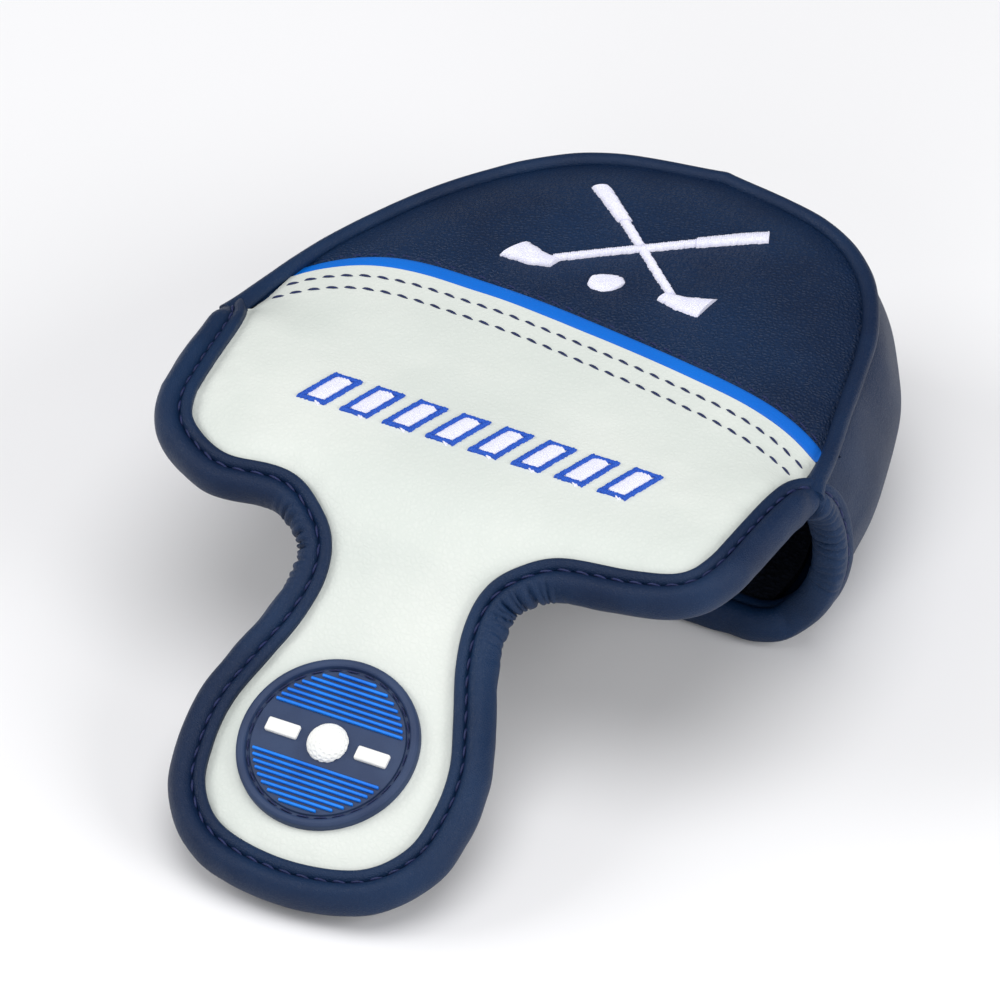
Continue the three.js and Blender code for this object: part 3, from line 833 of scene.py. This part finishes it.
share = np.linspace(0, 1, 56)
heights = WALL_TOP + (WALL_FOOT - WALL_TOP) * share
swell = WALL_SWELL * np.sin(math.pi * np.clip(share * 0.96 + 0.02, 0, 1)) ** 0.55 - 0.1
swell *= 1 - 0.3 * eased((share - 0.45) / 0.55)
front_y = 1.2 + 4.3 * np.sin(math.pi * np.clip(share, 0, 0.5)) + 3.2 * eased((share - 0.6) / 0.4)
wall = wall_sheet(heights, swell, front_y, WALL_STATIONS)
from_front = np.minimum(np.arange(WALL_STATIONS), np.arange(WALL_STATIONS)[::-1]) * 0.9
ripple = np.array([[noise.noise(Vector((x / 16, y / 16, z / 11 + 9))) for x, y, z in row] for row in wall])
pleats = np.array([[noise.noise(Vector((y / 9, z / 2.6, 21 + x / 90))) for x, y, z in row] for row in wall])
pleated = pleats * 0.55 * np.exp(-from_front / 5.5)[None] * np.sin(math.pi * share)[:, None]
corner = eased((share - 0.45) / 0.55)[:, None] * eased((34 - wall[..., 1]) / 26)
narrow = swell[:, None] * 0.38 * eased((30 - wall[..., 1]) / 26)
push = ripple * 0.45 - corner * 3.0 - narrow + pleated
away = outwards(wall)
wall = wall + away * push[..., None]
wall[..., 2] += 3.0 * eased((share - 0.8) / 0.2)[:, None] * eased((22 - wall[..., 1]) / 13)
side_wall = shell("side_wall", wall, wall - away * WALL_THICKNESS, NAVY_LEATHER)
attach(side_wall, "pouch")
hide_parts("side_wall", "wall_foam")

lining_heights = np.linspace(41.6, 3.8, 34)
lining_swell = np.interp(lining_heights, heights[::-1], swell[::-1]) - 4.9
inner = wall_sheet(lining_heights, lining_swell, np.full(34, 5.5), 161)
tuft = np.array([[noise.noise(Vector(p / 3.5)) for p in row] for row in inner])
inner_away = outwards(inner)
inner = inner + inner_away * tuft[..., None] * 0.2
wall_lining = shell("wall_lining", inner, inner - inner_away * 1.5, PILE)
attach(wall_lining, "pouch")
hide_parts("wall_lining")


# ---- sole and its lining -------------------------------------------------------------------------------
# A flat navy leather panel over foam, turned in at the wall, with pile above. A ring of stitches on the
# underside holds the steel plate that the tongue's magnet finds.
def d_sheet(front_y, inset, rows=64, columns=121):
    """Points over the D, from a straight front line back to the seam, moved in by an inset."""
    seam = flowing(POUCH_HALF, 400)
    step = np.gradient(seam, axis=0)
    step /= np.linalg.norm(step, axis=1, keepdims=True)
    seam = seam + np.stack([-step[:, 1], step[:, 0]], axis=1) * inset
    seam[-1, 0] = 0
    half_width = np.interp(front_y, seam[:, 1], seam[:, 0])
    rear = seam[seam[:, 1] > front_y + 0.8]
    knots = [tuple(point) for point in rear[:: max(1, len(rear) // 40)]] + [tuple(rear[-1])]
    rear = flowing(mirrored(knots), columns)
    front = np.column_stack([np.linspace(half_width, -half_width, columns), np.full(columns, front_y)])
    share = np.linspace(0, 1, rows)[:, None, None]
    plan = front[None] * (1 - share) + rear[None] * share
    return np.dstack([plan, np.zeros(plan.shape[:2])])


sole = d_sheet(6.4, 0.5)
sole[..., 0] *= 1 - 0.1 * eased((24 - sole[..., 1]) / 18)
edge_gap = distance_to(pouch_seam, sole[..., 0], sole[..., 1])
sole[..., 2] = 0.05 + 1.5 * np.exp(-edge_gap / 1.3)
sole[..., 2] += 2.6 * eased((np.abs(sole[..., 0]) - 45) / 7) * eased((18 - sole[..., 1]) / 10)
sole_top = sole.copy()
sole_top[..., 2] = 4.4
sole_panel = shell("sole_panel", sole, sole_top, NAVY_LEATHER)
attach(sole_panel, "pouch")
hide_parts("sole_panel", "sole_foam")
sole_pile = d_sheet(6.4, 5.6)
sole_pile[..., 0] *= 1 - 0.06 * eased((24 - sole_pile[..., 1]) / 18)
sole_pile[..., 2] = 6.3 + ripples(sole_pile, 3.5, 2.0) * 0.2 + ripples(sole_pile, 12, 4.0) * 0.3
sole_pile_foot = sole_pile.copy()
sole_pile_foot[..., 2] = 4.6
sole_lining = shell("sole_lining", sole_pile, sole_pile_foot, PILE)
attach(sole_lining, "pouch")
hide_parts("sole_lining")
PLATE_RING = 10.5
plate_low, plate_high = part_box("catch_plate")
plate_spot = np.array((plate_low + plate_high) / 2) * 1000 - MOUTH
ring_turn = np.linspace(0, 2 * math.pi, 121)
ring_x = plate_spot[0] + PLATE_RING * np.cos(ring_turn)
ring_y = plate_spot[1] + PLATE_RING * np.sin(ring_turn)
ring = np.column_stack([ring_x, ring_y, np.full(121, 0.05)])
down = np.tile([0, 0, -1.0], (121, 1))
ring_row = stitches("stitches_sole_ring", ring, down, 3.0, 2.3, 0.2, NAVY_THREAD, -0.15, 0.0)
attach(ring_row, "pouch")


# ---- lining of the top, flap and tongue ----------------------------------------------------------------
# The same pile under the foam, from the rear of the pouch to the tongue's tip. It is caught in the same
# seams as the white leather.
def lined(grid, name, nodes, bend=None):
    """Pile lining under one length of the top."""
    normal = facing(grid)
    rough = ripples(grid, 3.0, 12.0)[..., None] * 0.2
    upper, lower = grid - normal * 4.0, grid - normal * (5.5 + rough)
    if bend is None:
        piece = shell(name, upper, lower, PILE)
        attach(piece, "pouch")
    else:
        piece = shell(name, sway(upper), sway(lower), PILE)
        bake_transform(piece)
    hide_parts(*nodes)


lined(crown[:, 3:-3], "top_lining", ["top_lining"])
lined(rear_white[:, 3:-3], "flap_lining_rear", ["flap_lining"], (("pouch", "flap"), FLAP_BEND))
lined(front_white[:, 3:-3], "flap_lining_front", ["tongue_lining"], (("flap", "tongue"), TONGUE_BEND))

# ---- embroidery ----------------------------------------------------------------------------------------
# Satin stitch: threads laid side by side across each stroke, high in the middle and uneven at their ends.
# The crown carries crossed golf clubs over a ball, the flap a row of slanted bars, outlined and filled.
SATIN_THREAD = 0.42
SATIN_SLANT = 0.25


def satin(name, strokes, surface, height, material, seed):
    """strokes holds (line, half width, lift). surface gives the leather's height under a grid."""
    jitter = np.random.default_rng(seed)
    across = np.linspace(-1, 1, 9)
    points, faces = [], []
    for line, half, lift in strokes:
        line = np.asarray(line, float)
        run = run_of(line)
        at = np.arange(0, run[-1], SATIN_THREAD / 4)
        spine = np.stack([np.interp(at, run, line[:, k]) for k in (0, 1)], axis=1)
        width = np.interp(at, run, np.broadcast_to(half, len(line)))
        ahead = np.gradient(spine, axis=0)
        ahead /= np.linalg.norm(ahead, axis=1, keepdims=True)
        square = np.stack([-ahead[:, 1], ahead[:, 0]], axis=1)
        threads = (at / SATIN_THREAD).astype(int)
        uneven = jitter.uniform(-0.14, 0.1, (threads.max() + 1, 2))[threads]
        reach = across * (width[:, None] + np.where(across > 0, uneven[:, :1], uneven[:, 1:]))
        plan = spine[:, None] + (square + ahead * SATIN_SLANT)[:, None] * reach[..., None]
        ridge = np.abs(np.sin(math.pi * at / SATIN_THREAD))[:, None]
        ground = surface(plan) + lift
        top = np.dstack([plan, ground + height * np.sqrt(1 - across**2) * (0.82 + 0.18 * ridge) - 0.1])
        part, part_faces = closed(top, np.dstack([plan, ground - lift - 0.5]))
        faces += [tuple(np.array(face) + len(points)) for face in part_faces]
        points += part.tolist()
    return made_mesh(name, np.array(points), faces, material)


EMBLEM_SPOT = np.array([-0.4, 46.0])
GRIP = (-18.0, 15.2)
HEEL = (12.6, -10.4)
TOE = (20.4, -10.8)
BALL = 3.1
BALL_Y = -12.4


def club(side, lift):
    """A club from its grip down to a blade that points outwards."""
    grip, heel, toe = (np.array(spot) for spot in (GRIP, HEEL, TOE))
    grip_end = grip * 0.66 + heel * 0.34
    strokes = [
        ((grip_end, heel), [1.05, 0.95], lift),
        ((grip, grip_end), [1.75, 1.35], lift + 0.12),
        ((heel - (1.2, 1.2), heel + (3.2, -1.3), toe), [1.3, 2.3, 3.2], lift + 0.15),
    ]
    return [([EMBLEM_SPOT + spot * (side, 1) for spot in line], half, rise) for line, half, rise in strokes]


ball_x = np.linspace(-BALL, BALL, 25)
ball_line = np.column_stack([ball_x, np.full(25, BALL_Y)]) + EMBLEM_SPOT
ball_stroke = (ball_line, np.sqrt(BALL**2 - ball_x**2 + 0.05), 0.0)
emblem_strokes = [*club(1, 0.0), *club(-1, 0.3), ball_stroke]
crown_emblem = satin("crown_emblem", emblem_strokes, crown_surface, 0.85, WHITE_THREAD, 11)
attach(crown_emblem, "pouch")
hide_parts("crown_emblem")

ROW_Y = -18.8
ROW_HALF = 34.6
ROW_COUNT = 8
ROW_HEIGHT = 9.4
ROW_SLANT = 3.2
BAR = 6.2
OUTLINE = 0.62


def white_height(grid):
    return white_surface(grid)[..., 2]


outlines, fills = [], []
for middle in np.linspace(-ROW_HALF + BAR / 2, ROW_HALF - BAR / 2, ROW_COUNT):
    w, h, lean = BAR / 2 - OUTLINE, ROW_HEIGHT / 2 - OUTLINE, ROW_SLANT / 2
    corners = np.array([(-w - lean, -h), (w - lean, -h), (w + lean, h), (-w + lean, h)]) + (middle, ROW_Y)
    for start, end in zip(corners, np.roll(corners, -1, axis=0)):
        step = (end - start) / np.linalg.norm(end - start) * OUTLINE * 0.8
        outlines.append(([start - step, end + step], OUTLINE, 0.05))
    fills.append(([(middle - lean, ROW_Y - h), (middle + lean, ROW_Y + h)], w - 0.35, 0.0))
for name, strokes, height, material, slot_name in (
    ("embroidery_outline", outlines, 0.62, BLUE_THREAD, "blue_thread"),
    ("embroidery_fill", fills, 0.5, WHITE_THREAD, "white_thread"),
):
    row = satin(name, strokes, white_height, height, material, 5)
    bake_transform(row)
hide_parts("flap_embroidery")


# ---- badge ---------------------------------------------------------------------------------------------
# Moulded soft rubber, sewn on through the groove inside its rim. Two fields of blue ribs lie above and
# below a plain band with a white dimpled ball between two white bars.
def rubber(name, dark, light, roughness):
    made = Finish(name, IOR=1.5, Specular_IOR_Level=0.4)
    dust = made.noise(2600, 3.0, 0.6)
    drift = made.noise(120, 2.0)
    made.set("Base Color", made.mix(drift.between(0.3, 0.7), dark, light))
    made.set("Roughness", dust * 0.14 + roughness)
    made.set("Normal", made.bump(dust, 0.00003, 0.8))
    return made.material


BADGE_RUBBER = rubber("badge_rubber", colour(32, 50, 84), colour(39, 58, 92), 0.5)
BLUE_RUBBER = rubber("blue_rubber", colour(0, 108, 216), colour(8, 124, 230), 0.42)
WHITE_RUBBER = rubber("white_rubber", colour(230, 231, 229), colour(241, 241, 238), 0.5)
BADGE_Y = -80.7
BADGE_TURN = math.atan(np.interp(BADGE_Y, side_line[:, 0], slope))
badge_spot = np.array([0, BADGE_Y, float(skin_height(0, BADGE_Y))])
badge_seat = Matrix.Translation(place(badge_spot)) @ Matrix.Rotation(BADGE_TURN, 4, "X")
FIELD = 1.3
BADGE_PROFILE = [
    (0.0, FIELD), (14.75, FIELD), (14.9, 0.85), (15.55, 0.85), (15.75, 1.7), (16.1, 1.95), (16.8, 1.95),
    (17.3, 1.6), (17.45, 1.1), (17.45, -0.8), (0.0, -0.8),
]


def shaped(piece, edge):
    """Rounds a primitive's edges."""
    bpy.ops.object.transform_apply(location=True, rotation=True, scale=True)
    rounding = piece.modifiers.new("edges", "BEVEL")
    rounding.width = edge / 1000
    rounding.segments = 3
    rounding.limit_method = "ANGLE"
    bpy.ops.object.modifier_apply(modifier=rounding.name)
    return piece


def block(size, spot, edge):
    bpy.ops.mesh.primitive_cube_add(size=1, location=Vector(spot) / 1000)
    piece = bpy.context.object
    piece.scale = Vector(size) / 1000
    return shaped(piece, edge)


def seated(pieces, name, material, node):
    """Joins primitives made round the badge's own centre and moves them to its place on the tongue."""
    bpy.ops.object.select_all(action="DESELECT")
    for piece in pieces:
        piece.select_set(True)
    bpy.context.view_layer.objects.active = pieces[0]
    if len(pieces) > 1:
        bpy.ops.object.join()
    joined = finished(pieces[0], material)
    joined.name = name
    joined.data.name = name
    joined.data.transform(badge_seat)
    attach(joined, "tongue")
    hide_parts(node)


profile_mesh = bpy.data.meshes.new("badge")
profile_points = [(r / 1000, 0, w / 1000) for r, w in BADGE_PROFILE]
profile_mesh.from_pydata(profile_points, [(k, k + 1) for k in range(len(BADGE_PROFILE) - 1)], [])
badge = bpy.data.objects.new("badge", profile_mesh)
bpy.context.scene.collection.objects.link(badge)
bpy.ops.object.select_all(action="DESELECT")
badge.select_set(True)
bpy.context.view_layer.objects.active = badge
bpy.ops.object.mode_set(mode="EDIT")
bpy.ops.mesh.select_all(action="SELECT")
bpy.ops.mesh.spin(steps=120, angle=2 * math.pi, center=(0, 0, 0), axis=(0, 0, 1))
bpy.ops.mesh.select_all(action="SELECT")
bpy.ops.mesh.remove_doubles(threshold=1e-6)
bpy.ops.mesh.normals_make_consistent(inside=False)
bpy.ops.object.mode_set(mode="OBJECT")
seated([shaped(badge, 0.12)], "badge_base", BADGE_RUBBER, "badge")

RIB_PITCH = 1.18
RIB_WIDTH = 0.56
RIB_FIRST = 5.4
RIB_REACH = 14.2
for side, name in ((1, "upper"), (-1, "lower")):
    ribs = []
    for k in range(8):
        v = RIB_FIRST + k * RIB_PITCH
        rib_length = 2 * math.sqrt(RIB_REACH**2 - v**2)
        ribs.append(block((rib_length, RIB_WIDTH, 1.0), (0, side * v, FIELD + 0.05), 0.2))
    seated(ribs, "badge_ribs_" + name, BLUE_RUBBER, "badge_ribs_" + name)
for side, name in ((1, "right"), (-1, "left")):
    bar = block((6.6, 2.8, 1.6), (side * 9.3, 0, FIELD), 0.4)
    seated([bar], "badge_bar_" + name, WHITE_RUBBER, "badge_bar_" + name)

BALL_RADIUS = 4.0
DIMPLES = 150
bpy.ops.mesh.primitive_ico_sphere_add(subdivisions=6, radius=1)
ball = bpy.context.object
GOLDEN_TURN = math.pi * (3 - math.sqrt(5))
rank = np.arange(DIMPLES)
lift = 1 - (2 * rank + 1) / DIMPLES
ring = np.sqrt(1 - lift**2)
dimples = np.stack([ring * np.cos(rank * GOLDEN_TURN), ring * np.sin(rank * GOLDEN_TURN), lift], axis=1)
for vertex in ball.data.vertices:
    away = np.array(vertex.co)
    near = math.acos(min(1.0, float((dimples @ away).max())))
    away *= BALL_RADIUS - 0.2 * (1 - eased((near - 0.05) / 0.07))
    vertex.co = Vector((away[0], away[1], FIELD + away[2] * 0.45)) / 1000
seated([ball], "badge_ball", WHITE_RUBBER, "badge_ball")

SEWN_RADIUS = 15.22
turn = np.linspace(0, 2 * math.pi, 181)
badge_up = np.array([0, -math.sin(BADGE_TURN), math.cos(BADGE_TURN)])
badge_slope = np.array([0, math.cos(BADGE_TURN), math.sin(BADGE_TURN)])
around = np.cos(turn)[:, None] * np.array([1, 0, 0]) + np.sin(turn)[:, None] * badge_slope
ring = badge_spot + around * SEWN_RADIUS + badge_up * 0.95
ups = np.tile(badge_up, (181, 1))
badge_row = stitches("stitches_badge", ring, ups, 3.3, 2.5, 0.2, NAVY_THREAD, 0.0, 0.0)
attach(badge_row, "tongue")


# ---- hidden hardware -----------------------------------------------------------------------------------
# A steel catch plate in the sole's foam and a disc magnet behind the badge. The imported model's own two
# bodies stay as they are and only take their material here. The table's paper is set last.
def metal(name):
    made = Finish(name, Metallic=1.0)
    brushed = made.noise(900, 4.0, 0.7)
    made.set("Base Color", made.mix(brushed, colour(150, 152, 156), colour(196, 198, 202)))
    made.set("Roughness", brushed * 0.2 + 0.25)
    made.set("Normal", made.bump(brushed, 0.00002, 0.6))
    return made.material


STEEL = metal("magnet_steel")
for name, material in (("catch_plate", STEEL), ("tongue_magnet", STEEL)):
    carried = frame["nodes"][name].data
    carried.materials.clear()
    carried.materials.append(material)
paper = Finish("studio_paper")
paper.set("Base Color", paper.mix(paper.noise(6, 2.0), colour(236, 236, 238), colour(240, 240, 242)))
paper.set("Roughness", paper.noise(40, 2.0) * 0.1 + 0.8)
table.data.materials.append(paper.material)
